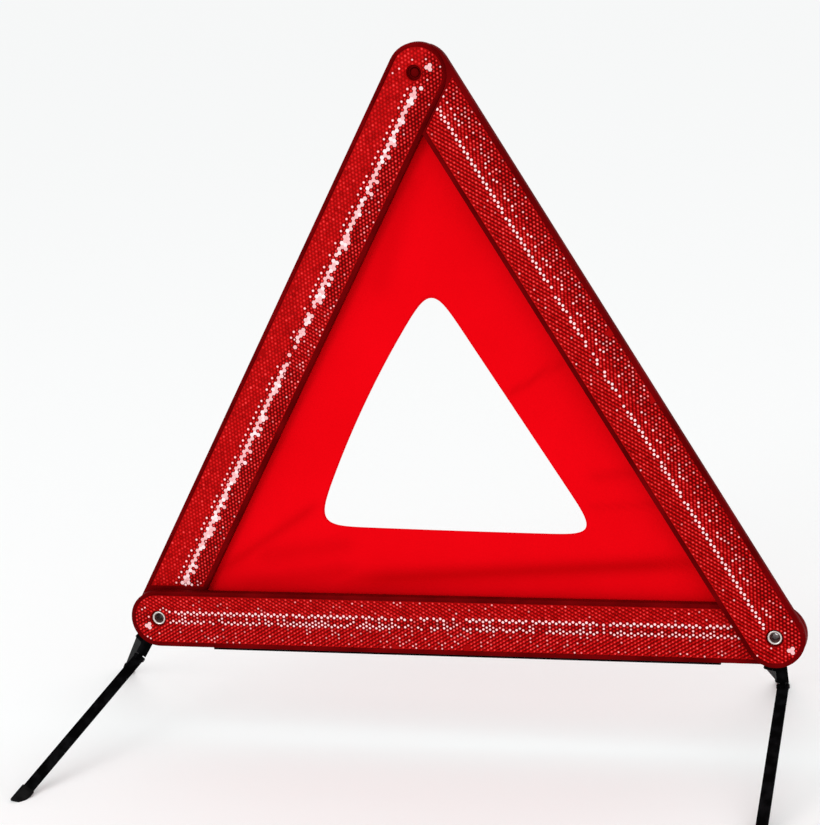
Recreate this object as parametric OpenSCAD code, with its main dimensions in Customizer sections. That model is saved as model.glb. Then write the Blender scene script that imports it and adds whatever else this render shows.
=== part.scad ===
// Folding warning triangle: three moulded arms with reflector lenses, a fabric panel with a
// triangular window, and four strip legs that swivel and hinge at the two lower corners.
// X runs along the base arm, -Y is the front, Z is up, and z = 0 is the ground.

/* [Triangle] */
// Distance between the corner pivots of an arm
pivot_spacing = 400; // [360:5:440]
// Width of an arm
arm_width = 37; // [34:0.5:44]
// Depth of an arm from front to back
arm_depth = 5.5; // [5:0.25:7]
// Width of the rim round a reflector lens
rim_width = 2.6; // [2:0.2:4]
// Free space between the front arm and the base arm
layer_gap = 0.5; // [0.4:0.1:1]
// Free space between the two side arms at their tips
tip_gap = 0.5; // [0.4:0.1:1]

/* [Shells and lenses] */
// Thickness of a reflector lens
lens_thickness = 1.9; // [1.5:0.1:2.2]
// How far the lens face lies below the rim
lens_recess = 0.3; // [0:0.1:0.5]
// Fitting gap round a lens
lens_gap = 0.1; // [0.05:0.05:0.3]
// Wall of a moulded shell
shell_wall = 1.5; // [1.2:0.1:2.5]
// Distance between the ribs on the back of a shell
rib_pitch = 35; // [25:1:40]

/* [Fabric] */
// Thickness of the fabric panel
fabric_thickness = 0.6; // [0.4:0.1:1]
// How far the fabric's edge lies inside the line between two pivots
fabric_inset = 9; // [7:0.5:12]
// Side of the window before its corners are rounded
window_side = 187; // [160:1:200]
// Radius of the window's corners
window_radius = 10; // [5:1:16]
// Distance of the window's middle below the triangle's middle
window_drop = 3; // [0:1:8]

/* [Corner hardware] */
// Outer radius of a tubular rivet
rivet_radius = 3; // [2.5:0.1:3.5]
// Bore radius of a tubular rivet
rivet_bore_radius = 2; // [1.5:0.1:2.2]
// Radius of a rivet's flange
rivet_flange_radius = 4.5; // [4:0.1:5]
// Thickness of a swivel plate
plate_thickness = 1; // [0.8:0.1:1.2]
// Space behind the base arm for the swivel plates
hardware_zone = 4.2; // [4:0.1:6]
// Radius of the snap hole at the top corner
snap_hole_radius = 4.3; // [4:0.1:4.6]

/* [Ballast rail] */
// Length of the steel rail behind the base arm
rail_length = 330; // [280:5:330]
// Thickness of the rail
rail_thickness = 2.5; // [2:0.1:2.8]
// Height of the rail's upper edge above its lower edge
rail_height = 16.6; // [12:0.2:16.6]
// How far the rail reaches below the base arm
rail_drop = 3.1; // [1:0.1:4]

/* [Legs] */
// Height of the base arm's pivot line above the ground
stand_height = 78.6; // [75:0.2:82]
// Length of a leg from hinge pin to foot
leg_length = 140; // [130:1:150]
// Width of a leg strip
leg_width = 7; // [6:0.2:8]
// Thickness of a leg strip
leg_thickness = 1.2; // [1:0.1:1.5]
// Distance from the corner pivot to a front leg's hinge pin
pin_distance = 34; // [32:0.5:36]
// Distance from the corner pivot to a rear leg's hinge pin
rear_pin_distance = 24; // [23:0.5:30]
// Outward swivel of the front left leg
front_left_splay = 32.6; // [20:0.2:40]
// Outward swivel of the front right leg
front_right_splay = 4.3; // [0:0.1:20]
// Outward swivel of the rear left leg
rear_left_splay = 45.2; // [30:0.2:48]
// Outward swivel of the rear right leg
rear_right_splay = -12.5; // [-15:0.5:20]

/* [Hidden] */
$fn = 96;
over = 1;
arm_radius = arm_width / 2;
lens_radius = arm_radius - rim_width;
lens_floor = lens_recess + lens_thickness;
floor_thickness = 1.3;
triangle_height = pivot_spacing * sin(60);

// Depths of the layers, measured at the height of the base arm's pivots.
base_front = 0;
base_back = base_front + arm_depth;
right_front = base_front - layer_gap - arm_depth;
left_front = base_back + hardware_zone;
left_back = left_front + arm_depth;
lean = atan((left_front - right_front - arm_depth - tip_gap) / 2 / (triangle_height + arm_radius));
lean_shift = triangle_height * sin(lean);

// Swivel plates lie one behind the other on the back of the base arm.
plate_gap = 0.15;
front_plate_y = base_back + plate_gap;
rear_plate_y = front_plate_y + plate_thickness + plate_gap;
stack_back = rear_plate_y + plate_thickness + plate_gap;
running_gap = 0.08;
arm_pivot_gap = 0.1;
eye_radius = 6.5;
rivet_bevel = 0.3;
rivet_dish_radius = 3.8;
rivet_dish_depth = 2;
flange_thickness = 0.8;
washer_radius = 6;
tail_washer_thickness = 0.5;

// Leg hinge
knuckle_radius = 1.7;
pin_radius = 0.8;
pin_head_radius = 1.3;
pin_head_thickness = 0.5;
middle_knuckle = 3;
side_gap = 0.2;
joint_clear = 0.5;
cap_width = 8.6;
cap_thickness = 3.4;
cap_length = 12.5;
cap_corner = 1.2;
cap_overrun = 1.5;
strip_end_gap = 8.5;

// Arm ends: how far each lens and the right arm's shell stop short of the neighbouring arm.
base_lens_cut = 0.6;
left_lens_cut = 0.9;
right_shell_cut = 1.6;
right_end_rim = 1.2;
right_lens_cut = right_shell_cut + right_end_rim;
lens_hole_gap = 0.9;
snap_lens_gap = 0.5;
boss_radius = 4;

// The side arms' rounded tips are set back a little, and the snap hole lies off the middle line.
tip_setback = 3.8;
snap_place = [4.4, -2.1];

// Right arm's flexible end, which passes behind the left arm's tip.
tongue_thickness = 1.5;
tongue_half_width = 14;
tongue_clear = 1.3;
tongue_front = left_front - right_front - 2 * lean_shift + arm_depth + tongue_clear;
tongue_root = 26;
tongue_overlap = 0.6;
stud_radius = 2.5;
stud_head_radius = 2.9;
stud_height = 4.2;
stud_neck = 1.4;
stud_taper = 0.8;
stud_bevel = 0.5;
socket_ring_inner = 3.1;
socket_ring_depth = 2.2;
socket_ring_inset = 0.2;

// Rail and its rivets
rail_rivet_pitch = 130;
rail_rivet_radius = 1.6;
rail_rivet_head = 3;
rail_rivet_grip = 1.5;
rail_z = -arm_radius - rail_drop;
rail_rivet_drop = 5.5;
rail_rivet_z = rail_z + rail_height - rail_rivet_drop;

// Fabric plane: its depth at the left, right and top corners.
fabric_left_clear = 0.8;
fabric_top_clear = 0.6;
fabric_left_y = left_back + fabric_left_clear;
fabric_right_y = 7;
fabric_top_y = right_front + lean_shift + tongue_front + tongue_thickness + fabric_top_clear;
fabric_mid_y = (fabric_left_y + fabric_right_y) / 2;
fabric_yaw = -atan((fabric_left_y - fabric_right_y) / pivot_spacing);
fabric_pitch = atan((fabric_top_y - fabric_mid_y) / triangle_height);
fabric_stud_radius = 1.2;
fabric_stud_head = 4;
fabric_stud_reach = 5.2;
fabric_stud_gap = 0.4;
fabric_stud_places = [0.25, 0.5, 0.75];

// Hinge angle that brings a leg of the given splay down to the ground.
function pin_reach(front) = front ? pin_distance : rear_pin_distance;
function leg_open(splay, front) = acos((stand_height / cos(splay) - pin_reach(front)) / leg_length);

// Depth of a leg's hinge pin behind the front face of its swivel plate.
function knuckle_y(front) = front ? plate_thickness - knuckle_radius : knuckle_radius;

// Offsets that put the origin on the ground under the middle of the model's box.
foot_side_reach = 4.17;
box_left = -pivot_spacing / 2 - stand_height * tan(rear_left_splay) - foot_side_reach;
box_right = pivot_spacing / 2 + arm_radius;
box_front = front_plate_y + knuckle_y(true) - leg_length * sin(leg_open(front_right_splay, true));
box_back = rear_plate_y + knuckle_y(false) + leg_length * sin(leg_open(rear_right_splay, false));
centre_x = (box_left + box_right) / 2;
centre_y = (box_front + box_back) / 2;

red = "#b8101a";
dark_red = "#5c0a10";
cloth_red = "#e00010";
black = "#141416";
steel = "#b9b6b2";
rubber = "#1c1c1c";

// ---------- Placing ----------

// The base arm's frame: its middle pivot line at x = z = 0, raised above the ground.
module at_base() {
    translate([-centre_x, -centre_y, stand_height]) children();
}

// An arm's own frame has its over-lapping end at the origin and its under-lapping end at x = pivot_spacing.
module at_base_arm() {
    at_base() translate([-pivot_spacing / 2, base_front, 0]) children();
}

module at_right_arm() {
    at_base() translate([pivot_spacing / 2, right_front, 0])
        rotate([-lean, 0, 0]) rotate([0, -120, 0]) children();
}

module at_left_arm() {
    at_base() translate([-pivot_spacing / 2, left_front, 0])
        rotate([lean, 0, 0]) rotate([0, -240, 0]) translate([-pivot_spacing, 0, 0]) children();
}

// A corner's frame, with the pivot along Y. Side is -1 at the left and 1 at the right.
module at_corner(side) {
    at_base() translate([side * pivot_spacing / 2, 0, 0]) children();
}

// A swivel plate's frame. Front plates roll their knuckle forward, rear plates backward.
module at_plate(side, splay, front) {
    at_corner(side) translate([0, front ? front_plate_y : rear_plate_y, 0])
        rotate([0, -side * splay, 0]) children();
}

// A leg's frame: the hinge pin lies along X, and the leg runs down -Z.
module at_leg(side, splay, front) {
    at_plate(side, splay, front) translate([0, knuckle_y(front), -pin_reach(front)])
        rotate([(front ? -1 : 1) * leg_open(splay, front), 0, 0]) children();
}

// ---------- Shapes ----------

// Turns a flat X-Z outline into a slab from depth y on.
module slab(y, thickness) {
    translate([0, y + thickness, 0]) rotate([90, 0, 0]) linear_extrude(thickness) children();
}

// An arm's outline, with each rounded end set back from its pivot by a given distance.
module stadium(radius, setback = 0, far_setback = 0) {
    translate([setback, 0]) circle(radius);
    translate([pivot_spacing - far_setback, 0]) circle(radius);
    translate([setback, -radius]) square([pivot_spacing - setback - far_setback, 2 * radius]);
}

// Everything on the arm's side of its neighbour's edge at the far pivot, less a margin.
module clear_of_neighbour(margin) {
    translate([pivot_spacing, 0]) rotate(120)
        translate([-pivot_spacing, arm_radius + margin]) square(2 * pivot_spacing);
}

// Everything outside the left arm's rounded tip, seen in the right arm's frame, less a margin.
module clear_of_left_tip(margin) {
    difference() {
        translate([-arm_width, -arm_width]) square([pivot_spacing + 2 * arm_width, 2 * arm_width]);
        translate([pivot_spacing, 0]) rotate(120) stadium(arm_radius + margin, tip_setback);
    }
}

module lens_outline(cut, shrink, setback) {
    intersection() {
        stadium(lens_radius - shrink, setback);
        clear_of_neighbour(cut + shrink);
    }
}

// Pockets between the ribs on the back, with solid bosses at the given places.
module back_pockets(boss_places, boss_z) {
    count = floor((pivot_spacing - 2 * arm_radius) / rib_pitch);
    start = (pivot_spacing - count * rib_pitch) / 2;
    difference() {
        for (i = [0:count - 1])
            translate([start + i * rib_pitch + shell_wall / 2, -arm_radius + shell_wall])
                square([rib_pitch - shell_wall, arm_width - 2 * shell_wall]);
        for (x = boss_places) translate([x, boss_z]) circle(boss_radius);
    }
}

module arm_shell(lens_cut, near_hole, far_hole, boss_places, boss_z,
                 hole_place = [0, 0], setback = 0, far_setback = 0) {
    pocket_floor = lens_floor + floor_thickness;
    difference() {
        slab(0, arm_depth) stadium(arm_radius, setback, far_setback);
        slab(-over, over + lens_floor) lens_outline(lens_cut, 0, setback);
        slab(pocket_floor, arm_depth) back_pockets(boss_places, boss_z);
        slab(-over, arm_depth + 2 * over) translate(hole_place) circle(near_hole);
        slab(-over, arm_depth + 2 * over) translate([pivot_spacing, 0]) circle(far_hole);
        children();
    }
}

module lens(cut, hole_radius, hole_place = [0, 0], setback = 0) {
    slab(lens_recess, lens_thickness) difference() {
        lens_outline(cut, lens_gap, setback);
        translate(hole_place) circle(hole_radius);
    }
}

module ring(y, thickness, outer, inner) {
    slab(y, thickness) difference() {
        circle(outer);
        circle(inner);
    }
}

// A tubular rivet from its dished front flange to the back of its rolled tail.
module tubular_rivet(front_y, back_y) {
    length = back_y - front_y;
    translate([0, back_y, 0]) rotate([90, 0, 0]) rotate_extrude() polygon([
        [rivet_bore_radius, 0],
        [rivet_flange_radius - rivet_bevel, 0],
        [rivet_flange_radius, rivet_bevel],
        [rivet_flange_radius, flange_thickness],
        [rivet_radius, flange_thickness],
        [rivet_radius, length - flange_thickness],
        [rivet_flange_radius, length - flange_thickness],
        [rivet_flange_radius, length - rivet_bevel],
        [rivet_dish_radius, length],
        [(rivet_bore_radius + rivet_radius) / 2, length - flange_thickness],
        [rivet_bore_radius, length - rivet_dish_depth]
    ]);
}

// ---------- Arms ----------

module base_back_shell() {
    color(dark_red) at_base_arm()
        arm_shell(base_lens_cut, rivet_radius, rivet_radius,
                  [for (i = [-1:1]) pivot_spacing / 2 + i * rail_rivet_pitch], rail_rivet_z)
        for (i = [-1:1]) slab(base_back - rail_rivet_grip, arm_depth)
            translate([pivot_spacing / 2 + i * rail_rivet_pitch, rail_rivet_z]) circle(rail_rivet_radius);
}

module base_reflector_lens() {
    color(red) at_base_arm() lens(base_lens_cut, rivet_flange_radius + lens_hole_gap);
}

module left_back_shell() {
    color(dark_red) at_left_arm()
        arm_shell(left_lens_cut, snap_hole_radius, rivet_radius + arm_pivot_gap,
                  [for (t = fabric_stud_places) t * pivot_spacing], 0, snap_place, tip_setback)
        for (t = fabric_stud_places) slab(arm_depth - rail_rivet_grip, arm_depth)
            translate([t * pivot_spacing, 0]) circle(fabric_stud_radius);
}

module left_reflector_lens() {
    color(red) at_left_arm()
        lens(left_lens_cut, snap_hole_radius + snap_lens_gap, snap_place, tip_setback);
}

module right_back_shell() {
    color(dark_red) at_right_arm() intersection() {
        arm_shell(right_lens_cut, rivet_radius + arm_pivot_gap, 0, [], 0, far_setback = tip_setback);
        slab(-over, arm_depth + 2 * over) clear_of_left_tip(right_shell_cut);
    }
}

module right_reflector_lens() {
    color(red) at_right_arm() lens(right_lens_cut, rivet_flange_radius + lens_hole_gap);
}

// A point of the left arm's frame, given from its tip's pivot, as x and z in the right arm's frame.
function from_left_to_right(p) = [
    pivot_spacing + cos(240) * p[0] + sin(240) * p[1],
    -sin(240) * p[0] + cos(240) * p[1]
];

// The right arm's end steps back behind the left arm's tip and carries the snap stud.
module right_snap_tongue() {
    stud_place = from_left_to_right(snap_place);
    front = arm_radius + right_shell_cut - tongue_overlap;
    back = tongue_front + tongue_thickness;
    color(dark_red) at_right_arm() {
        intersection() {
            slab(0, 2 * back) stadium(tongue_half_width);
            translate([pivot_spacing, 0, 0]) rotate([0, -120, 0])
                translate([-pivot_spacing / 2, 0, 0]) rotate([0, 90, 0]) rotate([0, 0, 90])
                linear_extrude(pivot_spacing) polygon([
                    [arm_depth, front + tongue_root],
                    [arm_depth, front + tongue_thickness],
                    [tongue_front, front],
                    [tongue_front, -2 * arm_width],
                    [back, -2 * arm_width],
                    [back, front + tongue_overlap],
                    [arm_depth + tongue_thickness, front + tongue_thickness + tongue_clear],
                    [arm_depth + tongue_thickness, front + tongue_root]
                ]);
        }
        translate([stud_place[0], tongue_front, stud_place[1]]) rotate([90, 0, 0]) rotate_extrude() polygon([
            [0, -tongue_thickness / 2],
            [stud_radius, -tongue_thickness / 2],
            [stud_radius, stud_height - stud_neck],
            [stud_head_radius, stud_height - stud_taper],
            [stud_head_radius - stud_bevel, stud_height],
            [0, stud_height]
        ]);
    }
}

module top_snap_socket() {
    color(dark_red) at_left_arm() translate([snap_place[0], 0, snap_place[1]])
        ring(arm_depth - socket_ring_depth - socket_ring_inset, socket_ring_depth,
             snap_hole_radius, socket_ring_inner);
}

// ---------- Fabric ----------

module fabric_triangle(side) {
    polygon([for (a = [90, 210, 330]) side / sqrt(3) * [cos(a), sin(a)]]);
}

// The fabric's plane, with the middle of the base arm's pivot line as its origin.
module at_fabric() {
    at_base() translate([0, fabric_mid_y, 0]) rotate([0, 0, fabric_yaw]) rotate([-fabric_pitch, 0, 0])
        children();
}

module fabric_panel() {
    middle_z = triangle_height / 3;
    color(cloth_red) difference() {
        at_fabric() slab(0, fabric_thickness) difference() {
            translate([0, middle_z]) fabric_triangle(pivot_spacing - 2 * sqrt(3) * fabric_inset);
            translate([0, middle_z - window_drop]) offset(window_radius, $fn = 48)
                fabric_triangle(window_side - 2 * sqrt(3) * window_radius);
        }
        at_left_arm() for (t = fabric_stud_places) slab(0, 4 * arm_depth)
            translate([t * pivot_spacing, 0]) circle(fabric_stud_radius + fabric_stud_gap);
    }
}

// Flat-headed studs that hold the fabric's left edge on the back of the left arm.
module fabric_studs() {
    color(dark_red) at_left_arm() for (i = [0:2]) {
        t = fabric_stud_places[i];
        shank_start = arm_depth - rail_rivet_grip;
        head_y = arm_depth + fabric_stud_reach;
        translate([t * pivot_spacing, 0, 0]) {
            slab(shank_start, head_y - shank_start) circle(fabric_stud_radius);
            slab(head_y, flange_thickness) circle(fabric_stud_head);
        }
    }
}

// ---------- Ballast rail ----------

module ballast_rail() {
    color(black) at_base() slab(base_back, rail_thickness) difference() {
        translate([-rail_length / 2, rail_z]) square([rail_length, rail_height]);
        for (i = [-1:1]) translate([i * rail_rivet_pitch, rail_rivet_z]) circle(rail_rivet_radius);
    }
}

module ballast_rail_rivets() {
    color(steel) at_base() for (i = [-1:1]) translate([i * rail_rivet_pitch, 0, rail_rivet_z]) {
        slab(base_back - rail_rivet_grip, rail_thickness + rail_rivet_grip) circle(rail_rivet_radius);
        slab(base_back + rail_thickness, flange_thickness) circle(rail_rivet_head);
    }
}

// ---------- Corner hardware ----------

module left_corner_rivet() {
    color(steel) at_corner(-1)
        tubular_rivet(base_front + lens_floor - flange_thickness, left_back + plate_gap + flange_thickness);
}

module right_corner_rivet() {
    color(steel) at_corner(1)
        tubular_rivet(right_front + lens_floor - flange_thickness - plate_gap,
                      stack_back + tail_washer_thickness + flange_thickness);
}

module left_spacer_washer() {
    color(steel) at_corner(-1)
        ring(stack_back, left_front - stack_back - plate_gap, washer_radius, rivet_radius);
}

module right_tail_washer() {
    color(steel) at_corner(1)
        ring(stack_back, tail_washer_thickness, washer_radius, rivet_radius);
}

// ---------- Legs ----------

module swivel_plate(side, splay, front) {
    reach = pin_reach(front);
    shoulder = reach - knuckle_radius - joint_clear;
    color(black) at_plate(side, splay, front) difference() {
        union() {
            slab(0, plate_thickness) {
                circle(eye_radius);
                translate([-leg_width / 2, -shoulder]) square([leg_width, shoulder]);
                translate([-middle_knuckle / 2, -reach]) square([middle_knuckle, reach]);
            }
            translate([0, knuckle_y(front), -reach]) rotate([0, 90, 0])
                cylinder(r = knuckle_radius, h = middle_knuckle, center = true);
        }
        slab(-over, plate_thickness + 2 * over) circle(rivet_radius + running_gap);
        translate([0, knuckle_y(front), -reach]) rotate([0, 90, 0])
            cylinder(r = pin_radius + running_gap, h = leg_width, center = true);
    }
}

module hinge_pin(side, splay, front) {
    color(steel) at_leg(side, splay, front) rotate([0, 90, 0]) {
        cylinder(r = pin_radius, h = leg_width + 2 * pin_head_thickness, center = true);
        for (end = [-1, 1]) translate([0, 0, end * (leg_width + pin_head_thickness) / 2])
            cylinder(r = pin_head_radius, h = pin_head_thickness, center = true);
    }
}

module leg_strip_solid() {
    strip_start = knuckle_radius + joint_clear;
    side_knuckle = (leg_width - middle_knuckle) / 2 - side_gap;
    translate([-leg_width / 2, -leg_thickness / 2, -leg_length + strip_end_gap])
        cube([leg_width, leg_thickness, leg_length - strip_end_gap - strip_start]);
    for (end = [-1, 1]) translate([end * (leg_width - side_knuckle) / 2, 0, 0]) {
        rotate([0, 90, 0]) cylinder(r = knuckle_radius, h = side_knuckle, center = true);
        translate([-side_knuckle / 2, -leg_thickness / 2, -strip_start - over])
            cube([side_knuckle, leg_thickness, strip_start + over]);
    }
}

module leg_strip(side, splay, front) {
    color(black) at_leg(side, splay, front) difference() {
        leg_strip_solid();
        rotate([0, 90, 0]) cylinder(r = pin_radius, h = 2 * leg_width, center = true);
    }
}

// A rubber cap on the leg's end, flat where it meets the ground.
module foot(side, splay, front) {
    color(rubber) difference() {
        at_leg(side, splay, front) difference() {
            translate([0, 0, -leg_length - cap_overrun]) linear_extrude(cap_length)
                union() {
                    square([cap_width - 2 * cap_corner, cap_thickness], center = true);
                    square([cap_width, cap_thickness - 2 * cap_corner], center = true);
                    for (x = [-1, 1], y = [-1, 1])
                        translate([x * (cap_width / 2 - cap_corner), y * (cap_thickness / 2 - cap_corner)])
                            circle(cap_corner);
                }
            translate([-leg_width / 2, -leg_thickness / 2, -leg_length + strip_end_gap])
                cube([leg_width, leg_thickness, leg_length]);
        }
        translate([-pivot_spacing, -pivot_spacing, -pivot_spacing])
            cube([2 * pivot_spacing, 2 * pivot_spacing, pivot_spacing]);
    }
}

base_back_shell();
base_reflector_lens();
left_back_shell();
left_reflector_lens();
right_back_shell();
right_reflector_lens();
right_snap_tongue();
top_snap_socket();
fabric_panel();
fabric_studs();
ballast_rail();
ballast_rail_rivets();
left_corner_rivet();
right_corner_rivet();
left_spacer_washer();
right_tail_washer();
swivel_plate(-1, front_left_splay, true);  // front_left_swivel_plate
hinge_pin(-1, front_left_splay, true);  // front_left_hinge_pin
leg_strip(-1, front_left_splay, true);  // front_left_leg_strip
foot(-1, front_left_splay, true);  // front_left_foot
swivel_plate(1, front_right_splay, true);  // front_right_swivel_plate
hinge_pin(1, front_right_splay, true);  // front_right_hinge_pin
leg_strip(1, front_right_splay, true);  // front_right_leg_strip
foot(1, front_right_splay, true);  // front_right_foot
swivel_plate(-1, rear_left_splay, false);  // rear_left_swivel_plate
hinge_pin(-1, rear_left_splay, false);  // rear_left_hinge_pin
leg_strip(-1, rear_left_splay, false);  // rear_left_leg_strip
foot(-1, rear_left_splay, false);  // rear_left_foot
swivel_plate(1, rear_right_splay, false);  // rear_right_swivel_plate
hinge_pin(1, rear_right_splay, false);  // rear_right_hinge_pin
leg_strip(1, rear_right_splay, false);  // rear_right_leg_strip
foot(1, rear_right_splay, false);  // rear_right_foot
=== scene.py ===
"""Studio scene for the folding warning triangle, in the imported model's frame, in metres."""

import math

import bmesh
import bpy
import numpy as np
from mathutils import Matrix, Vector


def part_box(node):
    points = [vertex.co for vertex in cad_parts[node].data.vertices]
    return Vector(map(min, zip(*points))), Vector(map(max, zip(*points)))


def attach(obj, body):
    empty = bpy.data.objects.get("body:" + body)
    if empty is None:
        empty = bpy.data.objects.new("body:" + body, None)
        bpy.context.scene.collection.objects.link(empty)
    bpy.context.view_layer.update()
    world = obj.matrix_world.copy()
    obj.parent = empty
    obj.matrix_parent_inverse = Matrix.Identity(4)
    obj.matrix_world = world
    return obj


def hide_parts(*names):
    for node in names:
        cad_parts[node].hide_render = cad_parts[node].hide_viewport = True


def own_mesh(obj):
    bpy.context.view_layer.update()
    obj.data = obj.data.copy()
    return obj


MM = 0.001
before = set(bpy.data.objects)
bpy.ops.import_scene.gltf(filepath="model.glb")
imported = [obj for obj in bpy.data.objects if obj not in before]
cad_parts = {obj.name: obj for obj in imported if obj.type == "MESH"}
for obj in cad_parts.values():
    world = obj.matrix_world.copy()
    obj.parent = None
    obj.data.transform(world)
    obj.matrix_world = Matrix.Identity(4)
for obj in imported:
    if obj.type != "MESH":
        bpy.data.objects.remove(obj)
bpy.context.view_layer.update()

# ---------- The object's own sizes, in millimetres, as in part.scad ----------

PIVOT_SPACING = 400.0
ARM_RADIUS = 18.5
ARM_DEPTH = 5.5
RIM_WIDTH = 2.6
LENS_RECESS = 0.3
LENS_THICKNESS = 1.9
LENS_GAP = 0.1
LENS_RADIUS = ARM_RADIUS - RIM_WIDTH - LENS_GAP
TRIANGLE_HEIGHT = PIVOT_SPACING * math.sin(math.radians(60))
RIGHT_FRONT = -6.0
LEFT_FRONT = 9.7
LEFT_BACK = LEFT_FRONT + ARM_DEPTH
LEAN = math.atan((LEFT_FRONT - RIGHT_FRONT - ARM_DEPTH - 0.5) / 2 / (TRIANGLE_HEIGHT + ARM_RADIUS))
LEAN_SHIFT = TRIANGLE_HEIGHT * math.sin(LEAN)
TONGUE_THICKNESS = 1.5
TONGUE_FRONT = LEFT_FRONT - RIGHT_FRONT - 2 * LEAN_SHIFT + ARM_DEPTH + 1.3

shell_low, shell_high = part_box("base_back_shell")
BASE_ORIGIN = Vector((
    (shell_low.x + shell_high.x) / 2,
    shell_low.y,
    (shell_low.z + shell_high.z) / 2,
))

AT_BASE = Matrix.Translation(BASE_ORIGIN) @ Matrix.Scale(MM, 4)


def turn(degrees, axis):
    return Matrix.Rotation(math.radians(degrees), 4, axis)


ARMS = {
    "base": AT_BASE @ Matrix.Translation((-PIVOT_SPACING / 2, 0, 0)),
    "right": AT_BASE @ Matrix.Translation((PIVOT_SPACING / 2, RIGHT_FRONT, 0))
    @ turn(-math.degrees(LEAN), "X") @ turn(-120, "Y"),
    "left": AT_BASE @ Matrix.Translation((-PIVOT_SPACING / 2, LEFT_FRONT, 0))
    @ turn(math.degrees(LEAN), "X") @ turn(-240, "Y")
    @ Matrix.Translation((-PIVOT_SPACING, 0, 0)),
}
BODIES = {"base": "base", "right": "right_arm", "left": "left_arm"}

# ---------- Camera ----------

VIEW_AZIMUTH = math.radians(17.44)
VIEW_ELEVATION = math.radians(12.76)
VIEW_ROLL = math.radians(-4.01)
VIEW_DISTANCE = 1.446
VIEW_TARGET = AT_BASE @ Vector((-19.3, 0, 137.4))
VIEW_LENS = 102.9


def make_camera():
    right = Vector((math.cos(VIEW_AZIMUTH), math.sin(VIEW_AZIMUTH), 0))
    forward = Vector((
        -math.sin(VIEW_AZIMUTH) * math.cos(VIEW_ELEVATION),
        math.cos(VIEW_AZIMUTH) * math.cos(VIEW_ELEVATION),
        -math.sin(VIEW_ELEVATION),
    ))
    up = right.cross(forward)
    rolled_right = right * math.cos(VIEW_ROLL) + up * math.sin(VIEW_ROLL)
    rolled_up = up * math.cos(VIEW_ROLL) - right * math.sin(VIEW_ROLL)
    turned = Matrix((rolled_right, rolled_up, -forward)).transposed().to_4x4()
    data = bpy.data.cameras.new("camera")
    data.lens = VIEW_LENS
    data.clip_start, data.clip_end = 0.05, 100
    camera = bpy.data.objects.new("camera", data)
    camera.matrix_world = Matrix.Translation(VIEW_TARGET - forward * VIEW_DISTANCE) @ turned
    bpy.context.scene.collection.objects.link(camera)
    bpy.context.scene.camera = camera


make_camera()

# ---------- Materials ----------


class Shader:
    """A small helper for building a node material from one principled shader."""

    def __init__(self, name):
        self.material = bpy.data.materials.new(name)
        self.material.use_nodes = True
        self.tree = self.material.node_tree
        self.principled = self.tree.nodes["Principled BSDF"]

    def node(self, kind, inputs=(), **settings):
        made = self.tree.nodes.new(kind)
        for key, value in settings.items():
            setattr(made, key, value)
        for key, value in dict(inputs).items():
            if isinstance(value, bpy.types.NodeSocket):
                self.tree.links.new(value, made.inputs[key])
            else:
                made.inputs[key].default_value = value
        return made

    def set(self, **values):
        for key, value in values.items():
            socket = self.principled.inputs[key.replace("_", " ")]
            if isinstance(value, bpy.types.NodeSocket):
                self.tree.links.new(value, socket)
            else:
                socket.default_value = value
        return self

    def place(self):
        return self.node("ShaderNodeTexCoord").outputs["Object"]

    def noise(self, scale, detail=3.0, roughness=0.55):
        return self.node(
            "ShaderNodeTexNoise",
            {"Vector": self.place(), "Scale": scale, "Detail": detail, "Roughness": roughness},
        ).outputs["Fac"]

    def ramp(self, factor, *stops):
        made = self.node("ShaderNodeValToRGB", {"Fac": factor})
        elements = made.color_ramp.elements
        while len(elements) < len(stops):
            elements.new(0.5)
        for element, (position, colour) in zip(elements, stops):
            element.position = position
            element.color = (*colour, 1)
        return made.outputs["Color"]

    def mix(self, factor, first, second):
        made = self.node("ShaderNodeMix", data_type="RGBA")
        for index, value in ((0, factor), (6, first), (7, second)):
            if isinstance(value, bpy.types.NodeSocket):
                self.tree.links.new(value, made.inputs[index])
            elif index == 0:
                made.inputs[index].default_value = value
            else:
                made.inputs[index].default_value = (*value, 1)
        return made.outputs[2]

    def bump(self, height, strength, distance):
        made = self.node(
            "ShaderNodeBump",
            {"Height": height, "Strength": strength, "Distance": distance},
        )
        self.tree.links.new(made.outputs["Normal"], self.principled.inputs["Normal"])
        return self


def shell_material():
    s = Shader("arm_shell_plastic")
    colour = s.ramp(s.noise(35), (0.35, (0.085, 0.0008, 0.0012)), (0.65, (0.15, 0.0014, 0.0022)))
    s.set(
        Base_Color=colour, Roughness=0.38, Metallic=0.12, Specular_IOR_Level=0.004,
        Specular_Tint=(1.0, 0.1, 0.1, 1),
    )
    return s.bump(s.noise(900, 2), 0.12, 0.0002).material


def lens_material():
    s = Shader("reflector_lens")
    # The cells' red carries painted light: painted shade in the grooves between cells and a painted
    # pinkish highlight on the dome tops.
    red_and_painted_light = s.node("ShaderNodeAttribute", attribute_name="red_and_painted_light").outputs["Fac"]
    glint = s.node("ShaderNodeAttribute", attribute_name="glint").outputs["Fac"]
    red = s.ramp(
        red_and_painted_light,
        (0.0, (0.008, 0.0001, 0.0001)),
        (0.35, (0.24, 0.0006, 0.0008)),
        (0.7, (0.68, 0.006, 0.007)),
        (1.0, (0.92, 0.12, 0.12)),
    )
    # Painted glints: the glint attribute mixes cells to pinkish white and makes them glow faintly,
    # as reflected light.
    colour = s.mix(glint, red, (1.0, 0.74, 0.75))
    glow = s.mix(glint, (0, 0, 0), (1.0, 0.62, 0.64))
    s.set(
        Base_Color=colour, Roughness=0.22, Specular_IOR_Level=0.05,
        Specular_Tint=(1.0, 0.3, 0.3, 1), Emission_Color=glow, Emission_Strength=0.12,
    )
    return s.bump(s.noise(500, 2), 0.05, 0.0002).material


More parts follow.
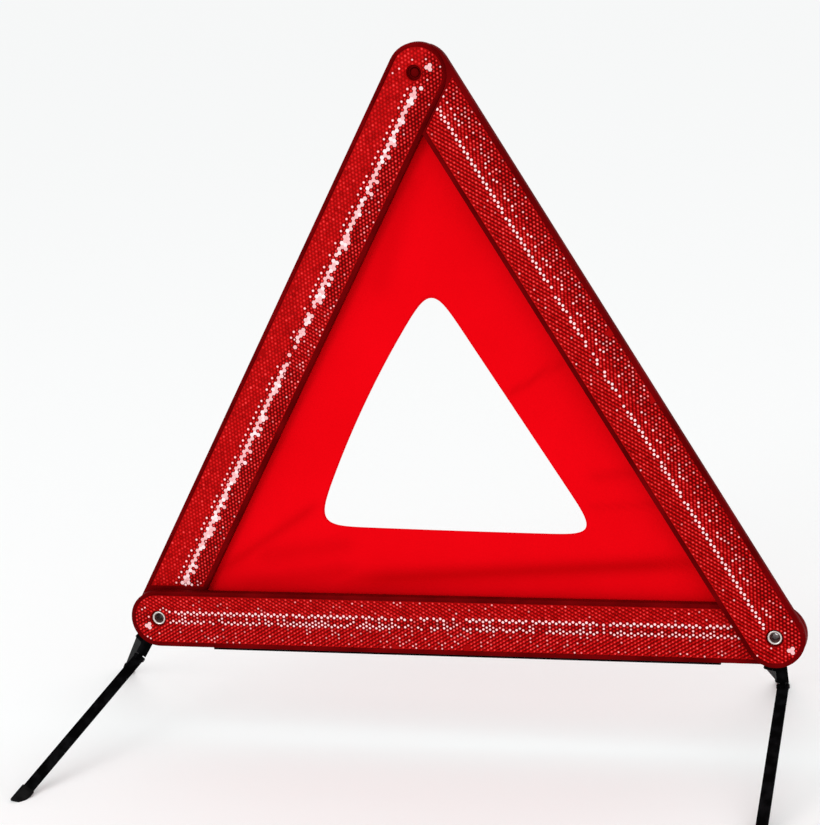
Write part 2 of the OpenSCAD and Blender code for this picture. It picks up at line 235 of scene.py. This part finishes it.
def fabric_material():
    s = Shader("fabric")
    # Painted shade along the folds darkens the cloth towards a deep red.
    fold_painted_shade = s.node("ShaderNodeAttribute", attribute_name="fold_painted_shade").outputs["Fac"]
    plain = s.ramp(s.noise(14), (0.3, (0.71, 0.0010, 0.0040)), (0.7, (0.77, 0.0012, 0.0050)))
    colour = s.mix(fold_painted_shade, plain, (0.40, 0.0004, 0.0016))
    weave = s.node(
        "ShaderNodeTexBrick",
        {"Vector": s.place(), "Scale": 900.0, "Mortar Size": 0.03},
    ).outputs["Fac"]
    s.set(
        Base_Color=colour, Roughness=0.85, Specular_IOR_Level=0.0,
        Sheen_Weight=0.04, Sheen_Tint=(1.0, 0.1, 0.1, 1),
    )
    return s.bump(weave, 0.2, 0.0001).material


def paint_material(name, colour=(0.0016, 0.0016, 0.0018)):
    s = Shader(name)
    worn = tuple(5 * c for c in colour)
    shade = s.ramp(s.noise(120, 5), (0.45, colour), (0.75, worn))
    s.set(Base_Color=shade, Roughness=0.4, Metallic=0.05, Specular_IOR_Level=0.002)
    return s.bump(s.noise(700, 2), 0.12, 0.0002).material


def steel_material(name, colour=(0.62, 0.58, 0.55), roughness=0.28):
    s = Shader(name)
    rough = s.node(
        "ShaderNodeMapRange",
        {"Value": s.noise(400, 4), "To Min": roughness - 0.08, "To Max": roughness + 0.14},
    ).outputs["Result"]
    s.set(Base_Color=(*colour, 1), Metallic=1.0, Roughness=rough)
    return s.bump(s.noise(1500, 2), 0.1, 0.0001).material


# The rivet bore's painted shade: dark reddish steel standing in for the shade and reflected red lens
# inside the bore.
def bore_painted_shade_material():
    s = Shader("rivet_bore_painted_shade")
    colour = s.ramp(s.noise(300, 4), (0.4, (0.085, 0.034, 0.036)), (0.7, (0.20, 0.10, 0.09)))
    s.set(Base_Color=colour, Metallic=0.6, Roughness=0.45)
    return s.bump(s.noise(1500, 2), 0.2, 0.0001).material


def rubber_material():
    s = Shader("foot_rubber")
    colour = s.ramp(s.noise(200, 4), (0.4, (0.003, 0.003, 0.003)), (0.7, (0.009, 0.009, 0.009)))
    s.set(Base_Color=colour, Roughness=0.7, Specular_IOR_Level=0.05)
    return s.bump(s.noise(800, 4), 0.4, 0.0003).material


SHELL = shell_material()
LENS = lens_material()
FABRIC = fabric_material()
LEG_PAINT = paint_material("leg_paint")
RAIL_PAINT = paint_material("rail_paint")
RIVET_STEEL = steel_material("rivet_steel")
WASHER_STEEL = steel_material("washer_steel", (0.55, 0.53, 0.52), 0.4)
PIN_STEEL = steel_material("pin_steel", (0.03, 0.03, 0.03), 0.35)
BORE_PAINTED_SHADE = bore_painted_shade_material()
RUBBER = rubber_material()


def paint_cad_nodes():
    looks = (
        ("back_shell", SHELL),
        ("snap", SHELL),
        ("fabric_studs", SHELL),
        ("rail_rivets", RIVET_STEEL),
        ("ballast_rail", RAIL_PAINT),
        ("corner_rivet", RIVET_STEEL),
        ("washer", WASHER_STEEL),
        ("swivel_plate", LEG_PAINT),
        ("leg_strip", LEG_PAINT),
        ("hinge_pin", PIN_STEEL),
        ("foot", RUBBER),
        ("lens", LENS),
        ("fabric", FABRIC),
    )
    for name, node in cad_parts.items():
        look = next(m for word, m in looks if word in name)
        node.data.materials.clear()
        node.data.materials.append(look)


paint_cad_nodes()

# ---------- Meshes ----------


def new_mesh(name, points, faces, material, place=None, smooth=False):
    mesh = bpy.data.meshes.new(name)
    mesh.from_pydata([tuple(p) for p in points], [], [tuple(f) for f in faces])
    if place is not None:
        mesh.transform(place)
    mesh.materials.append(material)
    mesh.polygons.foreach_set("use_smooth", [smooth] * len(mesh.polygons))
    mesh.update()
    made = bpy.data.objects.new(name, mesh)
    bpy.context.scene.collection.objects.link(made)
    return made


def add_attribute(made, name, values):
    attribute = made.data.attributes.new(name, "FLOAT", "POINT")
    attribute.data.foreach_set("value", np.asarray(values, np.float32))


# ---------- Moulded parts with softened edges ----------

SHARP_ANGLE = math.radians(32)
FLAT_ANGLE = math.radians(1.0)
MERGE_DISTANCE = 2e-6
SHELL_SOFTENING = 0.25 * MM
TONGUE_SOFTENING = 0.2 * MM


def softened(node, name, body, material, width):
    """A copy of a CAD node whose sharp edges are rounded by the given width in metres."""
    work = bmesh.new()
    work.from_mesh(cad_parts[node].data)
    bmesh.ops.remove_doubles(work, verts=work.verts, dist=MERGE_DISTANCE)
    bmesh.ops.dissolve_limit(
        work, angle_limit=FLAT_ANGLE, verts=work.verts, edges=work.edges
    )
    sharp = [
        edge for edge in work.edges
        if len(edge.link_faces) == 2 and edge.calc_face_angle(0) > SHARP_ANGLE
    ]
    bmesh.ops.bevel(
        work, geom=sharp, offset=width, offset_type="OFFSET", segments=2, profile=0.5,
        affect="EDGES", clamp_overlap=False,
    )
    mesh = bpy.data.meshes.new(name)
    work.to_mesh(mesh)
    work.free()
    mesh.materials.append(material)
    mesh.polygons.foreach_set("use_smooth", [True] * len(mesh.polygons))
    mesh.set_sharp_from_angle(angle=SHARP_ANGLE)
    made = bpy.data.objects.new(name, mesh)
    bpy.context.scene.collection.objects.link(made)
    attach(made, body)
    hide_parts(node)
    return made


for arm_name, arm_body in BODIES.items():
    softened(
        f"{arm_name}_back_shell", f"{arm_name}_shell_moulding", arm_body,
        SHELL, SHELL_SOFTENING,
    )

# ---------- Corner rivets ----------

RIVET_FRONT = (
    (3.0, 0.8), (4.3, 0.8), (4.47, 0.66), (4.5, 0.4), (4.4, 0.16), (4.15, 0.03), (3.85, 0.0),
    (3.55, 0.06), (3.3, 0.24), (3.1, 0.55), (2.95, 0.95), (2.75, 1.4), (2.4, 1.85), (2.1, 2.4),
    (2.0, 3.0),
)
RIVET_TAIL = (
    (2.0, -2.6), (2.1, -1.9), (2.35, -1.2), (2.75, -0.5), (3.2, -0.1), (3.7, 0.0), (4.15, -0.1),
    (4.45, -0.35), (4.4, -0.65), (4.1, -0.8), (3.0, -0.8),
)
BORE_LIP_RADIUS = 3.2
RIVET_SIDES = 64
FLANGE_THICKNESS = 0.8
PLATE_GAP = 0.15
STACK_BACK = 7.95
TAIL_WASHER_THICKNESS = 0.5


def make_rivet(side, front_y, back_y):
    """A tubular rivet turned about the pivot, its bore painted dark reddish for the shade and
    reflected red inside it.
    """
    profile = [(r, front_y + y) for r, y in RIVET_FRONT] + [(r, back_y + y) for r, y in RIVET_TAIL]
    points, faces, painted_dark = [], [], []
    for k in range(RIVET_SIDES):
        angle = 2 * math.pi * k / RIVET_SIDES
        for radius, y in profile:
            points.append((
                side * PIVOT_SPACING / 2 + radius * math.cos(angle), y, radius * math.sin(angle)
            ))
    count = len(profile)
    for k in range(RIVET_SIDES):
        here, there = k * count, (k + 1) % RIVET_SIDES * count
        for i in range(count):
            j = (i + 1) % count
            faces.append((here + i, here + j, there + j, there + i))
            # Faces inside the bore get the painted shade.
            inner = max(profile[i][0], profile[j][0]) < BORE_LIP_RADIUS
            painted_dark.append(1 if inner and len(RIVET_FRONT) // 2 < i < count - 1 else 0)
    name = "left_rivet_tube" if side < 0 else "right_rivet_tube"
    made = new_mesh(name, points, faces, RIVET_STEEL, AT_BASE, True)
    made.data.materials.append(BORE_PAINTED_SHADE)
    made.data.polygons.foreach_set("material_index", painted_dark)
    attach(made, "base")
    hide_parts("left_corner_rivet" if side < 0 else "right_corner_rivet")


LENS_FLOOR = LENS_RECESS + LENS_THICKNESS
make_rivet(-1, LENS_FLOOR - FLANGE_THICKNESS, LEFT_BACK + PLATE_GAP + FLANGE_THICKNESS)
make_rivet(
    1, RIGHT_FRONT + LENS_FLOOR - FLANGE_THICKNESS - PLATE_GAP,
    STACK_BACK + TAIL_WASHER_THICKNESS + FLANGE_THICKNESS,
)

# ---------- Snap tongue ----------

def make_tongue():
    tongue = softened(
        "right_snap_tongue", "snap_tongue_spring", "right_arm", SHELL,
        TONGUE_SOFTENING,
    )
    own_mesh(tongue)


make_tongue()

# ---------- Reflector lenses ----------

CELL_PITCH = 2.45
COLUMN_SPACING = CELL_PITCH * math.cos(math.radians(30))
CELL_HEIGHT = 0.26
CELL_EDGE_KEEP = 0.35
FIELD_MIDDLE = 184.0
FIELD_HALF = 23.5
NOTCH_RADIUS = 2.4
NOTCH_INSET = 1.2
TIP_GLINT_RADIUS = 2.2
PLAIN_SPOT = 0.42
SOLID_GLINT = 0.64
TIP_PART = 26.0
CORNER_ANGLES = np.radians(np.arange(0, 360, 30))
SNAP_PLACE = (4.4, -2.1)
TIP_SETBACK = 3.8

# Per arm: where the neighbour cuts the lens, the hole near the tip and its place, how far the tip is
# set back, the heights that part the inner, centre and outer zones, and the painted glint at the
# tip.
# "rows" are lines of cells painted with glints: height, width, share of cells lit and size of the
# lit spot.
# "zones" give each zone's ridge direction in degrees (None for round dots), how dark the painted
# shade in its grooves is, and its share of scattered cells painted with glints.
LENSES = {
    "base": {
        "cut": 0.6, "hole": 5.4, "hole_place": (0, 0), "setback": 0,
        "strip": (4.3, -1.9), "tip_glint": (-7.0, -4.5),
        "rows": ((4.3, 2.45, 0.94, 0.75), (-1.9, 2.45, 0.88, 0.62), (1.2, 2.45, 0.34, 0.55)),
        "zones": ((-30, 0.75, 0.04), (None, 0.9, 0.12), (30, 0.95, 0.13)),
        "seed": 3,
    },
    "right": {
        "cut": 2.8, "hole": 5.4, "hole_place": (0, 0), "setback": 0,
        "strip": (1.8, -4.5), "tip_glint": (-11.0, -5.0),
        "rows": ((1.8, 2.45, 0.97, 0.78), (-4.5, 2.45, 0.5, 0.55)),
        "zones": ((30, 0.9, 0.03), (-30, 0.9, 0.02), (None, 1.0, 0.2)),
        "seed": 5,
    },
    "left": {
        "cut": 0.9, "hole": 4.8, "hole_place": SNAP_PLACE, "setback": TIP_SETBACK,
        "strip": (3.6, -0.6), "tip_glint": (-2.6, 4.2),
        "rows": ((3.6, 2.45, 0.97, 1.0), (4.9, 2.45, 0.25, 1.0), (-1.22, 1.0, 0.85, 0.6)),
        "zones": ((None, 1.0, 0.09), (None, 0.7, 0.01), (None, 0.22, 0.0)),
        "seed": 8,
    },
}


def beyond_cut(x, z, margin):
    """How far a point of an arm's face lies inside the neighbour's edge, less a margin."""
    return (
        math.sin(math.radians(120)) * (PIVOT_SPACING - x) - 0.5 * z - ARM_RADIUS - margin
    )


def inside_lens(x, z, spec, margin):
    over = np.maximum(np.maximum(spec["setback"] - x, x - PIVOT_SPACING), 0)
    body = LENS_RADIUS - margin - np.hypot(over, z)
    cut = beyond_cut(x, z, spec["cut"] + LENS_GAP + margin)
    hole_x, hole_z = spec["hole_place"]
    hole = np.hypot(x - hole_x, z - hole_z) - spec["hole"] - margin
    return np.minimum(np.minimum(body, cut), hole)


def kept_in_lens(x, z, spec):
    """Points moved onto the lens's outline where they lie outside it."""
    x, z = x.copy(), z.copy()
    hole_x, hole_z = spec["hole_place"]
    away = np.maximum(np.hypot(x - hole_x, z - hole_z), 0.01)
    push = np.maximum(spec["hole"] / away, 1)
    x, z = hole_x + (x - hole_x) * push, hole_z + (z - hole_z) * push
    short = np.maximum(-beyond_cut(x, z, spec["cut"] + LENS_GAP), 0)
    x, z = x - math.sin(math.radians(120)) * short, z - 0.5 * short
    end = np.minimum(x - spec["setback"], 0)
    pull = np.minimum(LENS_RADIUS / np.maximum(np.hypot(end, z), 0.01), 1)
    return np.where(end < 0, spec["setback"] + end * pull, x), z * pull


def prism(outline, front, back):
    """A closed slab with the given outline, one polygon at each face."""
    count = len(outline)
    points = [(x, front, z) for x, z in outline] + [(x, back, z) for x, z in outline]
    faces = [tuple(range(count)), tuple(reversed(range(count, 2 * count)))]
    for i in range(count):
        j = (i + 1) % count
        faces.append((i, count + i, count + j, j))
    return points, faces


def far_outline(spec):
    """The lens beyond the tip's part, out to the slanted cut."""
    slope = math.sin(math.radians(120))
    reach = ARM_RADIUS + spec["cut"] + LENS_GAP
    outline = [(TIP_PART, LENS_RADIUS), (TIP_PART, -LENS_RADIUS)]
    for z in np.linspace(-LENS_RADIUS, LENS_RADIUS, 33):
        x = PIVOT_SPACING - (reach + 0.5 * z) / slope
        if x > PIVOT_SPACING:
            x = min(x, PIVOT_SPACING + math.sqrt(max(LENS_RADIUS**2 - z * z, 0)))
        outline.append((x, z))
    return outline


def tip_ring(spec, front, back):
    """The lens's round end, as a ring of quads round the hole."""
    hole_x, hole_z = spec["hole_place"]
    corners = [math.atan2(side * LENS_RADIUS - hole_z, TIP_PART - hole_x) for side in (-1, 1)]
    angles = sorted(list(np.radians(np.arange(-180, 180, 4))) + corners)
    outer, inner = [], []
    for angle in angles:
        dx, dz = math.cos(angle), math.sin(angle)
        low, high = 0.0, 4 * LENS_RADIUS
        for _ in range(40):
            reach = (low + high) / 2
            x, z = hole_x + reach * dx, hole_z + reach * dz
            end = min(x - spec["setback"], 0)
            inside = math.hypot(end, z) <= LENS_RADIUS and x <= TIP_PART
            low, high = (reach, high) if inside else (low, reach)
        outer.append((hole_x + low * dx, hole_z + low * dz))
        inner.append((hole_x + spec["hole"] * dx, hole_z + spec["hole"] * dz))
    count = len(angles)
    points = []
    for line in (outer, inner):
        points += [(x, front, z) for x, z in line] + [(x, back, z) for x, z in line]
    faces = []
    for i in range(count):
        j = (i + 1) % count
        faces.append((i, j, 2 * count + j, 2 * count + i))
        faces.append((count + i, 3 * count + i, 3 * count + j, count + j))
        faces.append((i, count + i, count + j, j))
        faces.append((2 * count + i, 2 * count + j, 3 * count + j, 3 * count + i))
    return points, faces


def lens_slab(spec):
    """The flat plate behind the cells, in two closed parts."""
    front, back = LENS_RECESS + 0.02, LENS_RECESS + LENS_THICKNESS
    points, faces = tip_ring(spec, front, back)
    more_points, more_faces = prism(far_outline(spec), front, back)
    start = len(points)
    points += more_points
    faces += [tuple(start + v for v in face) for face in more_faces]
    return np.array(points), faces


def cell_centres(spec):
    columns = np.arange(-8, 190)
    rows = np.arange(-8, 9)
    c, r = np.meshgrid(columns, rows, indexing="ij")
    x = c * COLUMN_SPACING
    z = (r + 0.5 * (c % 2)) * CELL_PITCH
    x, z = x.ravel(), z.ravel()
    keep = inside_lens(x, z, spec, CELL_EDGE_KEEP) > 0
    for end in (-1, 1):
        notch_x = FIELD_MIDDLE + end * FIELD_HALF
        keep &= np.hypot(x - notch_x, z + LENS_RADIUS - NOTCH_INSET) > NOTCH_RADIUS
    return x[keep], z[keep]


def lit_cells(x, z, zone, spec, rng):
    """How bright each cell's painted glint is, from 0 to 1, and how large its lit spot is."""
    count = len(x)
    middle = np.abs(x - FIELD_MIDDLE) < FIELD_HALF
    lit, spot = np.zeros(count), np.full(count, PLAIN_SPOT)
    for height, width, share, size in spec["rows"]:
        near = np.abs(z - height - 0.02) <= width / 2
        chosen = near & (rng.random(count) < np.where(middle, 0.6 * share, share))
        lit = np.where(chosen, rng.uniform(0.8, 1.0, count), lit)
        spot = np.where(chosen, size * rng.uniform(0.9, 1.05, count), spot)
    share = np.array([zone_spec[2] for zone_spec in spec["zones"]])[zone]
    sparkle = rng.random(count) < share * np.where(middle, 2.2, 1.0)
    lit = np.where(sparkle & (lit == 0), rng.uniform(0.15, 0.75, count), lit)
    lit = np.where(spot > 0.95, SOLID_GLINT * lit, lit)
    if spec is LENSES["left"]:
        # A painted row of glints along the left lens's cut end.
        cut_glint_row = (beyond_cut(x, z, spec["cut"]) < 2.2) & (z > 2) & (z < 11)
        lit, spot = np.where(cut_glint_row, 0.95, lit), np.where(cut_glint_row, 0.8, spot)
    # A painted cluster of glints near the tip, and a few painted glint dots on the rest of the tip.
    tip_glint = np.hypot(x - spec["tip_glint"][0], z - spec["tip_glint"][1]) < TIP_GLINT_RADIUS
    tip = x < spec["setback"] + 7
    tip_glint_dots = tip & (rng.random(count) < 0.06)
    lit = np.where(tip, 0.0, lit)
    lit = np.where(tip_glint, SOLID_GLINT, np.where(tip_glint_dots, 0.8, lit))
    return lit, np.where(tip_glint, 1.05, np.where(lit > 0, spot, PLAIN_SPOT))


def lens_cells(spec):
    """Points, faces, red with painted groove shade and dome highlight, and painted glint of all the
    cells on one lens.
    """
    rng = np.random.default_rng(spec["seed"])
    x, z = cell_centres(spec)
    count = len(x)
    upper, lower = spec["strip"]
    zone = np.where(z > upper + 0.6, 0, np.where(z < lower - 0.6, 2, 1))
    middle = np.abs(x - FIELD_MIDDLE) < FIELD_HALF
    ridges = [zone_spec[0] for zone_spec in spec["zones"]]
    angles = np.radians(np.array([0.0 if ridge is None else ridge for ridge in ridges]))[zone]
    dots = np.array([ridge is None for ridge in ridges])[zone]
    if spec is LENSES["left"]:
        across_arm = middle & (zone == 0)
        angles = np.where(across_arm, math.radians(90), angles)
        dots = dots & ~across_arm
    contrast = np.array([zone_spec[1] for zone_spec in spec["zones"]])[zone]
    lit, spot = lit_cells(x, z, zone, spec, rng)
    whole_cell_glint = spot > 0.85

    reach = np.where(np.arange(12) % 2 == 0, CELL_PITCH / math.sqrt(3), CELL_PITCH / 2)
    dx, dz = np.cos(CORNER_ANGLES), np.sin(CORNER_ANGLES)
    rim_x, rim_z = reach * dx, reach * dz
    # distance of each rim point from the ridge line through the cell's centre
    across = np.abs(
        -np.sin(angles)[:, None] * rim_x[None] + np.cos(angles)[:, None] * rim_z[None]
    )
    ridge_height = np.clip(1 - across / (0.5 * CELL_PITCH), 0, 1)
    ridge_height = np.where(dots[:, None], 0.08, ridge_height)
    rim_height = 0.55 * ridge_height

    def ring(scale):
        px, pz = x[:, None] + scale[:, None] * rim_x, z[:, None] + scale[:, None] * rim_z
        return kept_in_lens(px, pz, spec)

    rings = [
        ring(np.ones(count)),
        ring(np.where(whole_cell_glint, 0.97, np.minimum(0.62 * spot + 0.24, 0.96))),
        ring(np.where(whole_cell_glint, 0.82, 0.62 * spot)),
    ]
    dull = 1 - contrast
    heights = [
        rim_height * contrast[:, None] + 0.4 * dull[:, None],
        np.full((count, 12), 0.72),
        np.full((count, 12), 0.94),
    ]
    variation = rng.normal(0, 0.07, count)
    # Painted shade on one side of each dome and in the grooves, and a painted highlight on the dome
    # tops, around the lens's own red.
    shade = 0.30 * contrast[:, None] * np.clip(-dz[None] * 0.8 + dx[None] * 0.4, 0, 1)
    red_and_painted_light_rings = [
        0.04 + 0.50 * ridge_height * contrast[:, None] + 0.42 * dull[:, None],
        np.repeat((0.54 + variation)[:, None], 12, 1) - shade,
        np.repeat((0.76 - 0.12 * dull + variation)[:, None], 12, 1),
    ]
    # Painted glints: whole cells in the lines of glints, the dome tops for the rest.
    whole_cell_glint_lit = lit * whole_cell_glint
    glints = [
        np.repeat(whole_cell_glint_lit[:, None], 12, 1) * 0.55,
        np.repeat(whole_cell_glint_lit[:, None], 12, 1),
        np.repeat(lit[:, None], 12, 1),
    ]
    points, red_and_painted_light, glint = [], [], []
    for (px, pz), h, t, g in zip(rings, heights, red_and_painted_light_rings, glints):
        points.append(np.stack([px, LENS_RECESS - CELL_HEIGHT * h, pz], -1))
        red_and_painted_light.append(t)
        glint.append(g)
    top_x, top_z = kept_in_lens(x, z, spec)
    top = np.stack([top_x, np.full(count, LENS_RECESS - CELL_HEIGHT), top_z], -1)
    points.append(top[:, None])
    red_and_painted_light.append((0.86 - 0.16 * dull + variation)[:, None])
    glint.append(lit[:, None])
    points = np.concatenate(points, 1).reshape(-1, 3)
    red_and_painted_light = np.concatenate(red_and_painted_light, 1).ravel()
    glint = np.concatenate(glint, 1).ravel()

    pattern = []
    for i in range(12):
        j = (i + 1) % 12
        pattern.append((i, j, 12 + j, 12 + i))
        pattern.append((12 + i, 12 + j, 24 + j, 24 + i))
        pattern.append((24 + i, 24 + j, 36))
    faces = []
    for k in range(count):
        at = 37 * k
        faces.extend(tuple(at + v for v in face) for face in pattern)
    return points, faces, np.clip(red_and_painted_light, 0, 1), np.clip(glint, 0, 1)


def make_lens(arm):
    spec = LENSES[arm]
    plate, plate_faces = lens_slab(spec)
    cells, cell_faces, red_and_painted_light, glint = lens_cells(spec)
    offset = len(plate)
    faces = list(plate_faces) + [tuple(offset + v for v in f) for f in cell_faces]
    points = np.concatenate([plate, cells])
    made = new_mesh(f"{arm}_lens_cells", points, faces, LENS, ARMS[arm])
    add_attribute(made, "red_and_painted_light", np.concatenate([np.full(offset, 0.42), red_and_painted_light]))
    add_attribute(made, "glint", np.concatenate([np.zeros(offset), glint]))
    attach(made, BODIES[arm])
    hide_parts(f"{arm}_reflector_lens")


for arm_name in LENSES:
    make_lens(arm_name)

# ---------- Fabric ----------

FABRIC_THICKNESS = 0.5
FABRIC_INSET = 9.0
FABRIC_SIDE = PIVOT_SPACING - 2 * math.sqrt(3) * FABRIC_INSET
FABRIC_LEFT_Y = LEFT_BACK + 0.8
FABRIC_RIGHT_Y = 7.0
FABRIC_TOP_Y = RIGHT_FRONT + LEAN_SHIFT + TONGUE_FRONT + TONGUE_THICKNESS + 0.6
WINDOW_CORNERS = ((-4.0, 214.5), (-90.5, 60.5), (92.5, 58.0))
WINDOW_BOWS = (6.0, 0.4, 0.0)
WINDOW_ROUNDING = 0.2
SIDE_STEPS = 72
RING_STEPS = 34

# Folds in the cloth: start and end (x, z), width across, height, and how much painted shade darkens
# them.
FOLDS = (
    ((-95, 23), (178, 44), 7, 1.3, 0.75),
    ((-155, 15), (-58, 33), 8, 0.8, 0.35),
    ((-168, 23), (-82, 79), 5, 0.8, 0.4),
    ((-140, 38), (-60, 50), 9, 0.6, 0.3),
    ((36, 143), (80, 169), 3.5, 0.7, 0.35),
    ((85, 94), (128, 99), 6, 0.5, 0.25),
    ((82, 75), (138, 79), 3.5, 0.5, 0.2),
    ((-8, 292), (-44, 200), 12, 0.7, 0.25),
)


def across_fold(x, z, start, end, width):
    """How far a point lies across a fold, in widths, and how the fold fades towards its ends."""
    a, b = np.array(start, float), np.array(end, float)
    along = b - a
    length = np.hypot(*along)
    t = ((x - a[0]) * along[0] + (z - a[1]) * along[1]) / length**2
    side = ((x - a[0]) * along[1] - (z - a[1]) * along[0]) / length
    fade = np.clip(np.minimum(t, 1 - t) / 0.2, 0, 1)
    return side / width, fade * fade * (3 - 2 * fade)


# How much painted shade darkens the cloth along its folds.
def fold_shade(x, z):
    shade = np.zeros_like(x)
    for start, end, width, _, painted_dark in FOLDS:
        side, fade = across_fold(x, z, start, end, width)
        shade = np.maximum(shade, painted_dark * fade * np.exp(-2.2 * side**2))
    return shade


def fabric_depth(x, z):
    """Depth of the cloth's middle plane behind the base arm's front face."""
    middle = (FABRIC_LEFT_Y + FABRIC_RIGHT_Y) / 2
    depth = (
        middle
        - x * (FABRIC_LEFT_Y - FABRIC_RIGHT_Y) / PIVOT_SPACING
        + z * (FABRIC_TOP_Y - middle) / TRIANGLE_HEIGHT
    )
    for start, end, width, height, _ in FOLDS:
        side, fade = across_fold(x, z, start, end, width)
        depth = depth - height * fade * side * np.exp(0.5 - 2 * side**2)
    return depth


def closed_line(corners, bows, rounding):
    """A three-sided outline with bowed sides and rounded corners, an equal share per side."""
    points = []
    for i in range(3):
        a, b = np.array(corners[i], float), np.array(corners[(i + 1) % 3], float)
        normal = np.array([b[1] - a[1], a[0] - b[0]]) / np.hypot(*(b - a))
        centre = np.mean(corners, axis=0)
        if np.dot(normal, (a + b) / 2 - centre) < 0:
            normal = -normal
        t = np.arange(SIDE_STEPS) / SIDE_STEPS
        side = a + t[:, None] * (b - a) + 4 * (t * (1 - t))[:, None] * bows[i] * normal
        points.append(side)
    line = np.concatenate(points)
    if rounding:
        reach = int(rounding * SIDE_STEPS)
        for _ in range(3):
            window = np.ones(2 * reach // 3 + 1)
            window /= window.sum()
            pad = len(window)
            wrapped = np.concatenate([line[-pad:], line, line[:pad]])
            line = np.column_stack([
                np.convolve(wrapped[:, k], window, "same")[pad:-pad] for k in range(2)
            ])
    return line


def make_fabric():
    middle = TRIANGLE_HEIGHT / 3
    reach = FABRIC_SIDE / math.sqrt(3)
    corners = [
        (reach * math.cos(math.radians(a)), middle + reach * math.sin(math.radians(a)))
        for a in (90, 210, 330)
    ]
    outside = closed_line(corners, (0, 0, 0), 0.03)
    inside = closed_line(WINDOW_CORNERS, WINDOW_BOWS, WINDOW_ROUNDING)
    count = len(outside)
    layers = []
    for k in range(RING_STEPS + 1):
        t = k / RING_STEPS
        layers.append(outside + t * (inside - outside))
    flat = np.concatenate(layers)
    depth = fabric_depth(flat[:, 0], flat[:, 1])
    front = np.column_stack([flat[:, 0], depth - FABRIC_THICKNESS / 2, flat[:, 1]])
    back = np.column_stack([flat[:, 0], depth + FABRIC_THICKNESS / 2, flat[:, 1]])
    total = len(front)
    faces = []
    for k in range(RING_STEPS):
        for i in range(count):
            j = (i + 1) % count
            a, b, c, d = k * count + i, k * count + j, (k + 1) * count + j, (k + 1) * count + i
            faces.append((a, b, c, d))
            faces.append((total + d, total + c, total + b, total + a))
    last = RING_STEPS * count
    for i in range(count):
        j = (i + 1) % count
        faces.append((j, i, total + i, total + j))
        faces.append((last + i, last + j, total + last + j, total + last + i))
    made = new_mesh("fabric_cloth", np.concatenate([front, back]), faces, FABRIC, AT_BASE, True)
    # The painted fold shade goes onto the cloth as an attribute.
    add_attribute(made, "fold_painted_shade", np.tile(fold_shade(flat[:, 0], flat[:, 1]), 2))
    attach(made, "base")
    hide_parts("fabric_panel")
    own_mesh(made)


make_fabric()

# ---------- Studio ----------


WORLD_STRENGTH = 0.96
FLOOR_SIZE = 30.0
FLOOR_COLOUR = (0.962, 0.972, 0.972, 1)
LIGHTS = (
    ("key", (-1.3, -2.6, 1.0), 1.2, 20),
    ("fill", (1.9, -2.2, 0.7), 1.6, 6),
)
LIGHT_AIM = (0, 0, 0.2)


def make_studio():
    world = bpy.data.worlds.new("world")
    bpy.context.scene.world = world
    world.use_nodes = True
    background = world.node_tree.nodes["Background"]
    background.inputs["Color"].default_value = (1, 1, 1, 1)
    background.inputs["Strength"].default_value = WORLD_STRENGTH
    floor_mesh = bpy.data.meshes.new("floor")
    size = FLOOR_SIZE
    floor_mesh.from_pydata(
        [(-size, -size, 0), (size, -size, 0), (size, size, 0), (-size, size, 0)], [], [(0, 1, 2, 3)]
    )
    floor_shader = Shader("floor_paint")
    floor_shader.set(Base_Color=FLOOR_COLOUR, Roughness=0.9, Specular_IOR_Level=0.0)
    floor_mesh.materials.append(floor_shader.material)
    floor = bpy.data.objects.new("floor", floor_mesh)
    bpy.context.scene.collection.objects.link(floor)
    for name, place, size, power in LIGHTS:
        data = bpy.data.lights.new(name, "AREA")
        data.size = size
        data.energy = power
        light = bpy.data.objects.new(name, data)
        light.location = place
        light.rotation_mode = "QUATERNION"
        light.rotation_quaternion = (Vector(LIGHT_AIM) - Vector(place)).to_track_quat("-Z", "Y")
        bpy.context.scene.collection.objects.link(light)


make_studio()
bpy.context.scene.view_settings.view_transform = "Standard"
